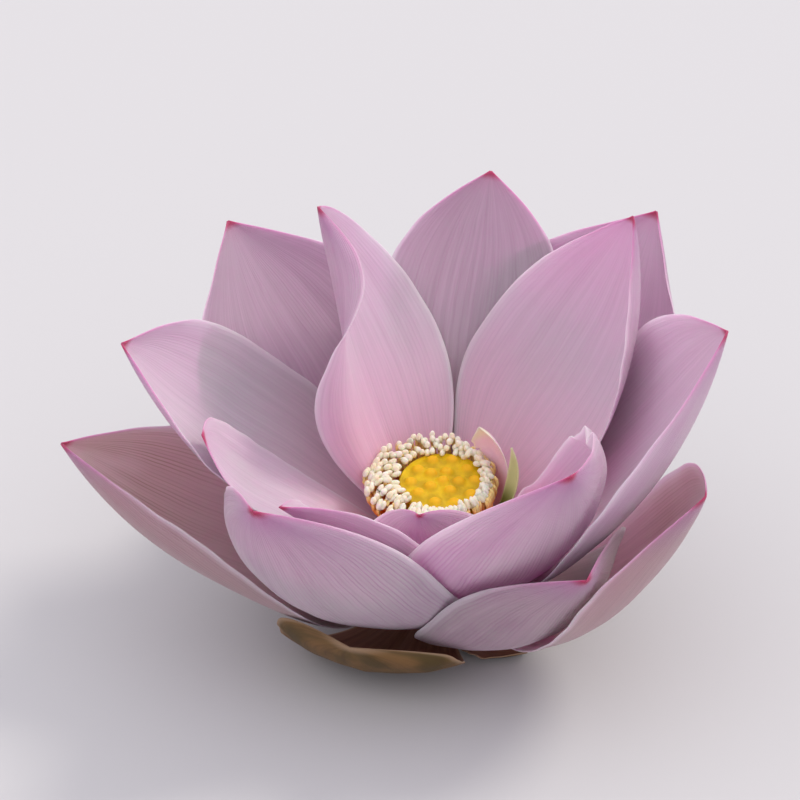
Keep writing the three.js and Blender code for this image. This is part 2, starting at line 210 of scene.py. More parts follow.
def running_sum(values, step, axis):
    """Trapezoid sums along an axis, from 0."""
    values = np.moveaxis(values, axis, 0)
    sums = np.cumsum((values[1:] + values[:-1]) / 2 * step, axis=0)
    return np.moveaxis(np.concatenate([np.zeros_like(values[:1]), sums]), 0, axis)


def compass(azimuth):
    """Unit vectors outwards, counter-clockwise and up at an azimuth in radians."""
    out = np.array([math.cos(azimuth), math.sin(azimuth), 0])
    side = np.array([-math.sin(azimuth), math.cos(azimuth), 0])
    return out, side, np.array([0, 0, 1.0])


def half_width(blade, s):
    """Half of the plain outline's width at each s."""
    root_width = blade.get("root_width", ROOT_WIDTH)
    growth = np.sin(np.pi / 2 * np.clip(s / blade["widest"], 0, 1)) ** WIDTH_GROWTH
    low = root_width + (blade["width"] - root_width) * growth
    u = np.clip((s - blade["widest"]) / (1 - blade["widest"]), 0, 1)
    high = blade["width"] * (1 - u ** blade["point"])
    return np.maximum(TIP_HALF_WIDTH, np.where(s < blade["widest"], low, high) / 2)


def lobe_at(blade, s, side):
    """How wide one side is beside the plain outline, where only a lobe of it is full."""
    lobe = blade.get("lobe")
    if not lobe or lobe["side"] != side:
        return np.ones_like(s)
    return lobe["base"] + (1 - lobe["base"]) * np.exp(-((s - lobe["at"]) / lobe["spread"]) ** 2)


def midrib(blade, root, s):
    """Points along the midrib, and the blade's inward and across directions there."""
    out, side, up = compass(math.radians(blade["az"]))
    slope, sway, roll = (np.radians(angle)[:, None] for angle in (
        through(blade["rise"], s), blade["sway"] * s, blade["tilt"] + blade["twist"] * s))
    ahead = np.cos(slope) * out + np.sin(slope) * up
    inward = -np.sin(slope) * out + np.cos(slope) * up
    tangent = np.cos(sway) * ahead + np.sin(sway) * side
    across = np.cos(sway) * side - np.sin(sway) * ahead
    points = running_sum(tangent, blade["length"] / (len(s) - 1), 0)
    points = points + root[0] * out + root[1] * up
    turned_in = np.cos(roll) * inward - np.sin(roll) * across
    turned_across = np.cos(roll) * across + np.sin(roll) * inward
    return points, turned_in, turned_across


def half_section(blade, s, side, steps):
    """Half of the cross-section at each s, for a half-width of 1: across and inward offsets."""
    h = np.linspace(0, 1, steps + 1)
    cup = np.radians(through(blade["cup"], s))[:, None]
    curl = np.radians(through(blade["curl"][side], s))[:, None]
    turn = cup * h + curl * (np.clip(h - CURL_FROM, 0, None) / (1 - CURL_FROM)) ** CURL_POWER
    return running_sum(np.cos(turn), 1 / steps, 1), running_sum(np.sin(turn), 1 / steps, 1)


def notches(s):
    """The uneven edge of a torn or crinkled margin, towards the tip."""
    edge = (np.sin(2 * np.pi * NOTCH_RATE * s)
            + FINE_NOTCH_SHARE * np.sin(2 * np.pi * FINE_NOTCH_RATE * s + 1))
    begun = np.clip((s - NOTCHES_FROM) / NOTCHES_FADE_IN, 0, 1)
    left = np.clip((NOTCHES_TO - s) / NOTCHES_FADE_OUT, 0, 1)
    return edge * begun * left


def blade_surface(blade, root, grid, scallop=0):
    """The blade's middle surface as an array of points, rows root to tip, columns t = -1 to 1.
    scallop is how deep the notches in the t = 1 margin are, beside the half-width."""
    along, columns = grid
    s = np.linspace(0, 1, along + 1)
    points, inward, across = midrib(blade, root, s)
    halves = []
    for side, sign in ((0, -1), (1, 1)):
        width = half_width(blade, s) * lobe_at(blade, s, side)
        width = (width * (1 + (scallop if side else 0) * notches(s)))[:, None]
        x, y = half_section(blade, s, side, columns // 2)
        halves.append(points[:, None] + sign * (x * width)[..., None] * across[:, None]
                      + (y * width)[..., None] * inward[:, None])
    return np.concatenate([halves[0][:, :0:-1], halves[1]], axis=1)


def normals_of(surface):
    """Unit normals on the inner side of a surface of points."""
    normal = np.cross(np.gradient(surface, axis=0), np.gradient(surface, axis=1))
    return normal / np.linalg.norm(normal, axis=-1, keepdims=True)


def margin_waves(chance, s, h):
    """One margin's waves and crimp, at each s along and each h out from the midrib."""
    waves = chance.uniform(*RUFFLE_WAVES)
    phase = chance.uniform(0, 2 * math.pi)
    ruffle = np.sin(2 * math.pi * waves * s + phase)
    ruffle = ruffle + FINE_RUFFLE_SHARE * np.sin(
        2 * math.pi * FINE_RUFFLE_RATE * waves * s + 2 * phase)
    crimp = np.sin(2 * math.pi * (waves + CRIMP_MORE_WAVES) * s + 3 * phase)
    return RUFFLE_DEPTH * ruffle * h ** 4 + CRIMP_DEPTH * crimp * h ** 9


def relief(grid, seed):
    """How far the living blade stands off the smooth one: margin waves and soft pleats."""
    chance = random.Random(seed)
    along, columns = grid
    s = np.linspace(0, 1, along + 1)[:, None]
    t = np.linspace(-1, 1, columns + 1)[None, :]
    free = np.clip((s - 0.3) / 0.5, 0, 1) * (1 - s ** 6)  # still near the root and at the tip
    total = np.zeros((along + 1, columns + 1))
    for sign in (-1, 1):
        total += np.where(t * sign > 0, margin_waves(chance, s, np.abs(t)) * free, 0)
    for pleats, depth in PLEATS:
        phase = chance.uniform(0, 2 * math.pi)
        lean = chance.uniform(-PLEAT_LEAN, PLEAT_LEAN)
        total += depth * np.cos(math.pi * pleats * t + lean * s + phase) * np.sin(math.pi * s)
    crease = np.exp(-(t / CREASE_WIDTH) ** 2) * (1 - s) ** 0.5
    return total - CREASE_DEPTH * crease


# ---------------------------------------------------------------- meshes and pieces


def shell_loop(surface):
    """The closed loop of points round each row of a shell: inner face, rim, outer face, rim."""
    t = np.linspace(-1, 1, surface.shape[1])
    thick = MARGIN_THICKNESS + (FACE_THICKNESS - MARGIN_THICKNESS) * (1 - np.abs(t) ** THINNING)
    offset = normals_of(surface) * (thick / 2)[None, :, None]
    right = surface[:, -1] - surface[:, -2]
    right = right / np.linalg.norm(right, axis=-1, keepdims=True)
    left = surface[:, 0] - surface[:, 1]
    left = left / np.linalg.norm(left, axis=-1, keepdims=True)
    bulge = MARGIN_THICKNESS / 2
    return np.concatenate([
        surface + offset,
        (surface[:, -1] + right * bulge)[:, None],
        (surface - offset)[:, ::-1],
        (surface[:, 0] + left * bulge)[:, None],
    ], axis=1)


def shell_faces(rows, columns):
    """Faces round a shell of so many rows, each a loop of 2 * columns + 2 points, with ends."""
    around = 2 * columns + 2
    faces = []
    for i in range(rows - 1):
        for j in range(around):
            a, b = i * around + j, i * around + (j + 1) % around
            faces.append((a, a + around, b + around, b))
    for i, flip in ((0, True), (rows - 1, False)):
        base = i * around
        for j in range(columns - 1):
            quad = (base + j, base + 2 * columns - j, base + 2 * columns - 1 - j, base + j + 1)
            faces.append(quad[::-1] if flip else quad)
        ends = [
            (base + 2 * columns + 1, base + 2 * columns, base),
            (base + columns - 1, base + columns + 1, base + columns),
        ]
        faces.extend(end[::-1] if flip else end for end in ends)
    return faces


def shell_mesh(name, surface):
    """A closed thin shell round a surface, with a rounded rim, as a mesh with UVs and a face_side
    attribute: 0 on the inner face and 1 on the outer one."""
    rows, columns = surface.shape[:2]
    mesh = mesh_from(name, shell_loop(surface).reshape(-1, 3), shell_faces(rows, columns))
    t = np.linspace(-1, 1, columns)
    across = np.concatenate([(t + 1) / 2, [1], (t[::-1] + 1) / 2, [0]])
    set_uv(mesh, np.tile(across, rows), np.repeat(np.linspace(0, 1, rows), len(across)))
    face_side = np.concatenate([np.zeros(columns), [0.5], np.ones(columns), [0.5]])
    set_mark(mesh, "face_side", np.tile(face_side, rows))
    return mesh


def slanted(points):
    """Points in mm with the flower's head leaning towards the viewer, in step with height."""
    points = np.array(points, dtype=float)
    over = np.clip(points[:, 2] - SLANT_FROM, 0, None) / (DISC_HEIGHT - SLANT_FROM)
    points[:, 2] += HEAD_SLANT * points[:, 1] * over
    return points


def mesh_from(name, points, faces):
    """A smooth-shaded mesh from points in mm about the flower's axis."""
    mesh = bpy.data.meshes.new(name)
    placed = (np.asarray(points) + np.array(AXIS)) * MM
    mesh.from_pydata(placed.tolist(), [], faces)
    mesh.validate()
    mesh.polygons.foreach_set("use_smooth", [True] * len(mesh.polygons))
    return mesh


def set_uv(mesh, u, v):
    """A UV map from one u and v for each vertex."""
    corners = np.zeros(len(mesh.loops), dtype=np.int32)
    mesh.loops.foreach_get("vertex_index", corners)
    layer = mesh.uv_layers.new(name="along_blade")
    pairs = np.stack([np.asarray(u)[corners], np.asarray(v)[corners]], axis=1)
    layer.data.foreach_set("uv", pairs.astype(np.float32).ravel())


def set_mark(mesh, name, values):
    """A named number at each vertex, for a material to read."""
    mark = mesh.attributes.new(name, "FLOAT", "POINT")
    mark.data.foreach_set("value", np.asarray(values, dtype=np.float32))


def add_piece(name, mesh, material, slot, node=None):
    """A piece of the flower, standing for a CAD node where one is named."""
    piece = bpy.data.objects.new(name, mesh)
    bpy.context.scene.collection.objects.link(piece)
    piece.data.materials.append(material)
    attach(piece, "root")
    if node:
        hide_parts(node)


def turned_faces(rows, sides):
    """Faces of a solid turned from rows of points, bottom first, closed at both ends."""
    faces = [(i * sides + j, i * sides + (j + 1) % sides,
              (i + 1) * sides + (j + 1) % sides, (i + 1) * sides + j)
             for i in range(rows - 1) for j in range(sides)]
    faces.append(tuple(reversed(range(sides))))
    faces.append(tuple(range((rows - 1) * sides, rows * sides)))
    return faces


# ---------------------------------------------------------------- materials

FLESH_SPECULAR = 0.35
GLOW_COLOURS = (1.0, 0.62, 0.85)  # how far red, green and blue travel inside, beside the depth


def linear(colour):
    """A linear RGBA colour from an sRGB one of 0 to 255."""
    parts = [c / 255 for c in colour]
    return tuple(c / 12.92 if c <= 0.04045 else ((c + 0.055) / 1.055) ** 2.4
                 for c in parts) + (1.0,)


class Nodes:
    """Short ways to build a node material."""

    def __init__(self, name):
        self.material = bpy.data.materials.new(name)
        self.material.use_nodes = True
        self.tree = self.material.node_tree
        self.shader = self.tree.nodes["Principled BSDF"]

    def add(self, kind, **values):
        node = self.tree.nodes.new(kind)
        for key, value in values.items():
            setattr(node, key, value)
        return node

    def plug(self, socket, value):
        """Link a socket to another one, or set it to a constant."""
        if isinstance(value, bpy.types.NodeSocket):
            self.tree.links.new(value, socket)
        else:
            socket.default_value = value

    def math(self, operation, *values):
        node = self.add("ShaderNodeMath", operation=operation)
        for socket, value in zip(node.inputs, values):
            self.plug(socket, value)
        return node.outputs[0]

    def times(self, first, second):
        return self.math("MULTIPLY", first, second)

    def ramp(self, value, low, high, start=0.0, end=1.0):
        """value taken from low..high to start..end, smoothly and clamped."""
        node = self.add("ShaderNodeMapRange", interpolation_type="SMOOTHSTEP")
        for socket, number in zip(node.inputs, (value, low, high, start, end)):
            self.plug(socket, number)
        return node.outputs[0]

    def mix(self, factor, first, second, blend="MIX"):
        """The first colour at factor 0 and the second at 1. Inputs 6 and 7 are its colours."""
        node = self.add("ShaderNodeMix", data_type="RGBA", blend_type=blend)
        self.plug(node.inputs[0], factor)
        self.plug(node.inputs[6], first)
        self.plug(node.inputs[7], second)
        return node.outputs[2]

    def vector(self, x, y, z=0.0):
        node = self.add("ShaderNodeCombineXYZ")
        for socket, value in zip(node.inputs, (x, y, z)):
            self.plug(socket, value)
        return node.outputs[0]

    def noise(self, place, scale=1.0, detail=2.0, roughness=0.5):
        node = self.add("ShaderNodeTexNoise")
        self.plug(node.inputs["Vector"], place)
        node.inputs["Scale"].default_value = scale
        node.inputs["Detail"].default_value = detail
        node.inputs["Roughness"].default_value = roughness
        return node.outputs[0]

    def uv(self):
        """The blade's u, across, and v, along."""
        node = self.add("ShaderNodeUVMap", uv_map="along_blade")
        parts = self.add("ShaderNodeSeparateXYZ")
        self.plug(parts.inputs[0], node.outputs[0])
        return parts.outputs[0], parts.outputs[1]

    def place(self):
        """Where a point is on the object, in metres."""
        return self.add("ShaderNodeTexCoord").outputs["Object"]

    def height(self, place):
        parts = self.add("ShaderNodeSeparateXYZ")
        self.plug(parts.inputs[0], place)
        return parts.outputs[2]

    def attribute(self, name):
        return self.add("ShaderNodeAttribute", attribute_name=name).outputs["Fac"]

    def outside(self):
        """0 on a blade's inner face and 1 on its outer one."""
        return self.ramp(self.attribute("face_side"), 0.3, 0.7)

    def edge(self, u):
        """0 at a blade's midrib and 1 at either margin."""
        return self.math("ABSOLUTE", self.math("MULTIPLY_ADD", u, 2.0, -1.0))

    def bump(self, height, distance):
        """Small relief, with its depth in mm."""
        node = self.add("ShaderNodeBump")
        node.inputs["Strength"].default_value = 1.0
        node.inputs["Distance"].default_value = distance * MM
        self.plug(node.inputs["Height"], height)
        self.plug(self.shader.inputs["Normal"], node.outputs[0])

    def flesh(self, colour, roughness, glow, depth, sheen=0.0):
        """Soft plant tissue: light passes a little way in, to a depth in mm."""
        self.plug(self.shader.inputs["Base Color"], colour)
        self.shader.inputs["Roughness"].default_value = roughness
        self.shader.inputs["Specular IOR Level"].default_value = FLESH_SPECULAR
        self.shader.inputs["Subsurface Weight"].default_value = glow
        self.shader.inputs["Subsurface Radius"].default_value = GLOW_COLOURS
        self.shader.inputs["Subsurface Scale"].default_value = depth * MM
        self.shader.inputs["Sheen Weight"].default_value = sheen
        return self.material


# A petal's colours, in sRGB of 0 to 255. Each face has its own, with a foot near the root.
INNER = (217, 189, 208)
INNER_COOL = (205, 189, 200)
INNER_FOOT = (234, 178, 199)
INNER_VEIN = (204, 156, 192)
OUTER = (184, 157, 177)
OUTER_PALE = (194, 180, 188)
OUTER_FOOT = (206, 172, 178)
OUTER_VEIN = (178, 126, 170)
# What a faded petal turns to, and the streaks near its tip.
OLD_INNER = (212, 196, 186)
OLD_OUTER = (168, 134, 134)
OLIVE = (138, 124, 72)
# The margin, partly paler tissue and partly a painted highlight of the lit rim, rosier towards the
# tip; a dull smear outside; a flush, and the point itself.
MARGIN_AND_RIM_HIGHLIGHT = (230, 204, 220)
MARGIN_AND_RIM_HIGHLIGHT_AT_TIP = (218, 152, 188)
TIP_SMEAR = (166, 124, 166)
TIP_FLUSH = (206, 122, 168)
TIP_SPOT = (168, 34, 84)

VEIN_SPACING = 1.2
VEIN_WANDER = 0.03  # how far a vein strays, as a share of the petal's width
VEIN_HALF_WIDTH = 0.28  # as a share of the spacing
PETAL_RELIEF = 0.08


def petal_pattern(nodes, u, v, width, seed):
    """Patterns of 0 to 1 on a petal: broad patches, long streaks, and veins that fade here and
    there."""
    drift = nodes.noise(nodes.vector(u, nodes.times(v, 1.6), seed * 3.7), 3.0)
    patch = nodes.noise(nodes.vector(u, v, seed * 1.9 + 40), 2.2, 3.0)
    wander = nodes.math("MULTIPLY_ADD", drift, VEIN_WANDER, u)
    count = round(width / VEIN_SPACING)
    saw = nodes.math("FRACT", nodes.times(wander, count))
    line = nodes.math("ABSOLUTE", nodes.math("SUBTRACT", saw, 0.5))
    vein = nodes.ramp(line, 0.0, VEIN_HALF_WIDTH, 1.0, 0.0)
    streak_at = nodes.vector(nodes.times(wander, count * 0.8), nodes.times(v, 2.2), seed)
    streak = nodes.noise(streak_at, 1.0, 4.0, 0.65)
    fade = nodes.ramp(nodes.noise(streak_at, 0.6, 1.0), 0.35, 0.62)
    vein = nodes.times(vein, nodes.math("MULTIPLY_ADD", fade, 0.7, 0.3))
    return patch, streak, vein


def petal_inside(nodes, v, patch, vein, pale, age):
    """Lavender pink with a rosier foot, greyer if pale, duller and streaked with olive if old."""
    inner = nodes.mix(nodes.ramp(patch, 0.46, 0.7, 0.0, 0.55), linear(INNER), linear(INNER_COOL))
    inner = nodes.mix(pale, inner, linear(INNER_COOL))
    inner = nodes.mix(nodes.ramp(v, 0.1, 0.62), linear(INNER_FOOT), inner)
    inner = nodes.mix(nodes.times(vein, 0.22), inner, linear(INNER_VEIN))
    inner = nodes.mix(0.75 * age, inner, linear(OLD_INNER))
    withered = nodes.times(nodes.ramp(v, 0.4, 0.8), nodes.ramp(patch, 0.4, 0.6))
    old_streak = nodes.times(nodes.math("MULTIPLY_ADD", vein, 0.75, 0.25), withered)
    return nodes.mix(nodes.times(old_streak, 0.6 * age), inner, linear(OLIVE))


def petal_outside(nodes, v, patch, vein, age):
    """Mauve and more strongly veined, duller if old."""
    outer = nodes.mix(nodes.ramp(patch, 0.36, 0.6), linear(OUTER), linear(OUTER_PALE))
    outer = nodes.mix(nodes.ramp(v, 0.05, 0.4), linear(OUTER_FOOT), outer)
    outer = nodes.mix(nodes.times(nodes.ramp(v, 0.6, 0.95), 0.5), outer, linear(OUTER))
    outer = nodes.mix(nodes.times(vein, 0.4), outer, linear(OUTER_VEIN))
    return nodes.mix(0.75 * age, outer, linear(OLD_OUTER))


def petal_edges(nodes, colour, u, v, streak, outside):
    """The pale margin, partly paler tissue and partly a painted rim highlight, and the flush and
    magenta point at the tip, laid over a petal's colour.
    """
    edge = nodes.edge(u)
    # The band round every margin is partly the edge's own paler tissue and partly a painted
    # highlight of the lit rim.
    band = nodes.ramp(nodes.math("MULTIPLY_ADD", streak, 0.03, edge), 0.945, 1.01)
    margin = nodes.mix(nodes.ramp(v, 0.72, 0.95), linear(MARGIN_AND_RIM_HIGHLIGHT), linear(MARGIN_AND_RIM_HIGHLIGHT_AT_TIP))
    colour = nodes.mix(nodes.times(band, 0.6), colour, margin)
    reach = nodes.math("MULTIPLY_ADD", nodes.math("SUBTRACT", streak, 0.5), 0.1, v)
    along_edge = nodes.times(nodes.ramp(edge, 0.8, 1.0), 0.09)
    flush = nodes.ramp(nodes.math("ADD", reach, along_edge), 0.92, 1.08)
    smear = nodes.times(nodes.ramp(reach, 0.86, 1.0), outside)
    colour = nodes.mix(nodes.times(smear, 0.45), colour, linear(TIP_SMEAR))
    colour = nodes.mix(nodes.times(flush, 0.55), colour, linear(TIP_FLUSH))
    spot = nodes.ramp(v, 0.972, 0.995)
    return nodes.mix(nodes.times(spot, 0.9), colour, linear(TIP_SPOT))


def petal_material(name, blade, pale, dusk, age, seed):
    """A petal's two faces, streaked lighter and darker. dusk darkens them both."""
    nodes = Nodes(name)
    u, v = nodes.uv()
    outside = nodes.outside()
    patch, streak, vein = petal_pattern(nodes, u, v, blade["width"], seed)
    inner = petal_inside(nodes, v, patch, vein, pale, age)
    outer = petal_outside(nodes, v, patch, vein, age)
    shade = nodes.ramp(streak, 0.3, 0.7, 0.94 - dusk, 1.04 - dusk)
    shades = nodes.vector(shade, shade, shade)
    colour = nodes.mix(1.0, nodes.mix(outside, inner, outer), shades, "MULTIPLY")
    colour = petal_edges(nodes, colour, u, v, streak, outside)
    relief_share = nodes.math("MULTIPLY_ADD", outside, 0.6, 0.4)  # deeper outside
    nodes.bump(nodes.times(nodes.math("ADD", vein, streak), relief_share), PETAL_RELIEF)
    return nodes.flesh(colour, roughness=0.5, glow=0.9, depth=2.4, sheen=0.1)


SEPAL_OUTER = (88, 70, 32)
SEPAL_OUTER_PALE = (128, 94, 54)
SEPAL_OUTER_STREAK = (84, 60, 34)
SEPAL_INNER = (120, 74, 58)
SEPAL_INNER_PALE = (144, 96, 74)
SEPAL_RIM = (186, 156, 128)


def sepal_material(name, seed):
    """Olive brown outside with a pale rim, dark reddish brown inside."""
    nodes = Nodes(name)
    u, v = nodes.uv()
    along = nodes.vector(nodes.times(u, 26.0), nodes.times(v, 2.5), seed)
    streak = nodes.noise(along, 1.0, 4.0, 0.6)
    blotch = nodes.noise(nodes.vector(u, v, seed * 2.0), 5.0, 3.0)
    outer = nodes.mix(nodes.ramp(blotch, 0.35, 0.65), linear(SEPAL_OUTER), linear(SEPAL_OUTER_PALE))
    outer = nodes.mix(nodes.ramp(streak, 0.45, 0.7, 0.0, 0.5), outer, linear(SEPAL_OUTER_STREAK))
    inner = nodes.mix(nodes.ramp(streak, 0.3, 0.7), linear(SEPAL_INNER), linear(SEPAL_INNER_PALE))
    colour = nodes.mix(nodes.outside(), inner, outer)
    rim = nodes.math("MAXIMUM", nodes.ramp(nodes.edge(u), 0.93, 1.0), nodes.ramp(v, 0.95, 1.0))
    colour = nodes.mix(nodes.times(rim, 0.6), colour, linear(SEPAL_RIM))
    nodes.bump(streak, 0.12)
    return nodes.flesh(colour, roughness=0.55, glow=0.1, depth=0.8)


# Each petaloid's colour at the root, further up, and at the tip and margins.
PETALOID_COLOURS = {
    "petaloid_pink": ((238, 188, 202), (250, 216, 230), (248, 238, 210)),
    "petaloid_green": ((120, 134, 58), (206, 214, 148), (222, 224, 172)),
}


def petaloid_material(name):
    """A scrap between stamen and petal, pale at its tip and margins."""
    low, high, tip = (linear(colour) for colour in PETALOID_COLOURS[name])
    nodes = Nodes(name)
    u, v = nodes.uv()
    streak = nodes.noise(nodes.vector(nodes.times(u, 8.0), v), 2.0, 3.0)
    colour = nodes.mix(nodes.ramp(v, 0.35, 0.65), low, high)
    colour = nodes.mix(nodes.ramp(v, 0.86, 0.97), colour, tip)
    colour = nodes.mix(nodes.ramp(nodes.edge(u), 0.86, 1.0, 0.0, 0.6), colour, tip)
    nodes.bump(streak, 0.1)
    return nodes.flesh(colour, roughness=0.5, glow=0.3, depth=1.0)


def grained_material(name, first, second, scale, glow, roughness):
    """Tissue whose colour drifts between two, with a fine grain."""
    nodes = Nodes(name)
    place = nodes.place()
    drift = nodes.noise(place, scale, 3.0)
    colour = nodes.mix(nodes.ramp(drift, 0.35, 0.65), linear(first), linear(second))
    nodes.bump(nodes.noise(place, 2600.0, 3.0), 0.06)
    return nodes.flesh(colour, roughness, glow, depth=1.0)


# ---------------------------------------------------------------- petals, sepals, petaloids


def foot_on(surface):
    """The surface with its first row moved back into the receptacle's neck."""
    back = surface[0] - surface[1]
    surface = surface.copy()
    surface[0] += back / np.linalg.norm(back, axis=-1, keepdims=True) * ROOT_OVERLAP
    return surface


def living_blade(name, blade, level, grid):
    """A petal's or sepal's surface. Each next one, by level, grows a step lower on the neck."""
    root = (ROOT_RADIUS, ROOT_TOP - ROOT_STEP * level)
    surface = blade_surface(blade, root, grid, SCALLOPS.get(name, 0))
    surface = surface + normals_of(surface) * relief(grid, level)[..., None]
    return foot_on(surface)


def make_petals():
    for level, (name, blade) in enumerate(PETALS.items()):
        surface = living_blade(name, blade, level, PETAL_GRID)
        pale = 0 if level < INNER_WHORL else OUTER_WHORL_PALE
        material = petal_material(name, blade, pale, DUSKS.get(name, 0), AGES.get(name, 0), level)
        add_piece(name + "_blade", shell_mesh(name, surface), material, "petal", name)


def make_sepals():
    """The sepals, each set down so that its lowest point is on the floor."""
    for level, (name, blade) in enumerate(SEPALS.items(), len(PETALS)):
        surface = living_blade(name, blade, level, SEPAL_GRID)
        surface[..., 2] += FACE_THICKNESS / 2 - surface[..., 2].min()
        material = sepal_material(name, level)
        add_piece(name + "_blade", shell_mesh(name, surface), material, "sepal", name)


def make_petaloids():
    for name, blade in PETALOIDS.items():
        surface = blade_surface(blade, PETALOID_ROOTS[name], PETALOID_GRID, SCALLOPS.get(name, 0))
        add_piece(name + "_blade", shell_mesh(name, surface), petaloid_material(name), name, name)


# ---------------------------------------------------------------- stamens

# Rows from the innermost: how many, where the head's middle is, how far it points up, and how
# far the row lies towards the flower's left.
STAMEN_ROWS = [
    dict(count=40, radius=12.2, height=40.8, pitch=6, drift=0.8),
    dict(count=46, radius=13.7, height=41.5, pitch=24, drift=1.9),
    dict(count=48, radius=15.0, height=41.7, pitch=42, drift=2.9),
    dict(count=43, radius=16.0, height=41.2, pitch=56, drift=3.8),
]
# The last row leaves room for the petaloids, between these azimuths in degrees.
GAP_FROM = -14
GAP_TO = 36
# Strays stand upright outside the ring at the flower's left.
STRAYS = dict(count=8, first=168, last=232)
STRAY = dict(radius=17.0, height=41.0, pitch=80, drift=4.2)

# How unevenly they stand. The first is in radians.
AZIMUTH_SPREAD = 0.035
PITCH_SPREAD = 9
YAW_SPREAD = 14
PLACE_SPREAD = 0.45
HEAD_LENGTH = 2.9
HEAD_LENGTH_SHARES = (0.82, 1.14)
HEAD_RADIUS = 0.89
HEAD_RADIUS_SHARES = (0.88, 1.1)
HEAD_SAG = 0.25
HEAD_STEPS = 8
HEAD_SIDES = 10
ROOT_REACH = (8.4, 10.0)
ROOT_HEIGHT = (25.0, 29.0)
FILAMENT_RADIUS = 0.3
ANTHER_RADIUS = 0.5
STALK_RADII = [FILAMENT_RADIUS] * 5 + [ANTHER_RADIUS] * 4 + [ANTHER_RADIUS * 0.8]
STALK_SIDES = 6

FILAMENT_ORANGE = (240, 128, 20)
ANTHER_YELLOW = (248, 214, 140)
YELLOW_FROM = 35
YELLOW_TO = 39.5
HEAD_CREAM = (255, 250, 230)
HEAD_IVORY = (252, 238, 204)


def tube(path, radii, sides):
    """Rings of points round a path, and faces that close it at both ends."""
    tangents = np.gradient(path, axis=0)
    tangents /= np.linalg.norm(tangents, axis=1, keepdims=True)
    side = np.cross(tangents, tangents[0] + np.array([0.31, 0.17, 0.53]))  # any skew direction
    side /= np.linalg.norm(side, axis=1, keepdims=True)
    third = np.cross(tangents, side)
    angles = np.arange(sides) * 2 * math.pi / sides
    rings = path[:, None] + np.asarray(radii)[:, None, None] * (
        np.cos(angles)[None, :, None] * side[:, None]
        + np.sin(angles)[None, :, None] * third[:, None])
    return rings.reshape(-1, 3), turned_faces(len(path), sides)


def joined(parts):
    """Several point-and-face pairs as one."""
    points, faces = [], []
    count = 0
    for part_points, part_faces in parts:
        points.append(part_points)
        faces.extend(tuple(index + count for index in face) for face in part_faces)
        count += len(part_points)
    return np.concatenate(points), faces


def bezier(points, steps):
    """A cubic curve through its four control points."""
    u = np.linspace(0, 1, steps + 1)[:, None]
    a, b, c, d = points
    return (1 - u) ** 3 * a + 3 * (1 - u) ** 2 * u * b + 3 * (1 - u) * u * u * c + u ** 3 * d


def stamen(row, azimuth, chance):
    """The filament with its anther, and the club-shaped head, of one stamen."""
    out, side, up = compass(azimuth)
    pitch = math.radians(row["pitch"] + chance.gauss(0, PITCH_SPREAD))
    yaw = math.radians(chance.gauss(0, YAW_SPREAD))
    level = -math.cos(yaw) * out + math.sin(yaw) * side
    ahead = math.cos(pitch) * level + math.sin(pitch) * up
    length = HEAD_LENGTH * chance.uniform(*HEAD_LENGTH_SHARES)
    middle = out * (row["radius"] + chance.gauss(0, PLACE_SPREAD)) + up * (
        row["height"] + chance.gauss(0, PLACE_SPREAD))
    middle[0] -= row["drift"]
    base = middle - ahead * length / 2
    tip = middle + ahead * length / 2
    root = out * chance.uniform(*ROOT_REACH) + up * chance.uniform(*ROOT_HEIGHT)
    leaving = root + out * 1.5 + up * 5
    arriving = base - ahead * 3.5 - up * 1.5
    stalk = bezier([root, leaving, arriving, base], len(STALK_RADII) - 1)
    u = np.linspace(0, 1, HEAD_STEPS + 1)
    sag = -HEAD_SAG * np.sin(math.pi * u)[:, None] * up
    head = base + (tip - base) * u[:, None] + sag
    radius = HEAD_RADIUS * chance.uniform(*HEAD_RADIUS_SHARES)
    # An ellipse, fuller towards the free end.
    swell = np.sqrt(np.clip(1 - (2 * u - 1) ** 2, 0.02, None)) * (0.72 + 0.34 * u)
    return tube(stalk, STALK_RADII, STALK_SIDES), tube(head, radius * swell, HEAD_SIDES)


def stalk_material():
    """Orange filaments that turn into pale yellow anthers under the heads."""
    nodes = Nodes("stamen_stalk")
    high = nodes.ramp(nodes.height(nodes.place()), YELLOW_FROM * MM, YELLOW_TO * MM)
    colour = nodes.mix(high, linear(FILAMENT_ORANGE), linear(ANTHER_YELLOW))
    return nodes.flesh(colour, roughness=0.5, glow=0.4, depth=1.0)


def ring_of_stamens(chance):
    """The stamens of every row. Alternate rows are turned by half a place."""
    last = len(STAMEN_ROWS) - 1
    for level, row in enumerate(STAMEN_ROWS):
        for k in range(row["count"]):
            place = (k + 0.5 * (level % 2)) / row["count"]
            azimuth = 2 * math.pi * place + chance.gauss(0, AZIMUTH_SPREAD)
            turn = (math.degrees(azimuth) + 180) % 360 - 180
            if level < last or not GAP_FROM < turn < GAP_TO:
                yield stamen(row, azimuth, chance)


def stray_stamens(chance):
    for k in range(STRAYS["count"]):
        share = (k + chance.uniform(-0.4, 0.4)) / (STRAYS["count"] - 1)
        azimuth = math.radians(STRAYS["first"] + (STRAYS["last"] - STRAYS["first"]) * share)
        yield stamen(STRAY, azimuth, chance)


def make_stamens():
    """All the stalks as one piece, and all the heads as another."""
    chance = random.Random(7)
    stalks, heads = zip(*ring_of_stamens(chance), *stray_stamens(chance))
    stalk_points, stalk_faces = joined(stalks)
    head_points, head_faces = joined(heads)
    head_material = grained_material(
        "stamen_head", HEAD_CREAM, HEAD_IVORY, 500.0, glow=0.6, roughness=0.5)
    add_piece("stamen_stalks", mesh_from("stamen_stalks", slanted(stalk_points), stalk_faces),
              stalk_material(), "stamen", "stamens")
    add_piece("stamen_heads", mesh_from("stamen_heads", slanted(head_points), head_faces),
              head_material, "stamen")


# ---------------------------------------------------------------- receptacle and stem

DISC_RADIUS = 11.4
DISC_EDGE = 39.9
CONE_FOOT = 8
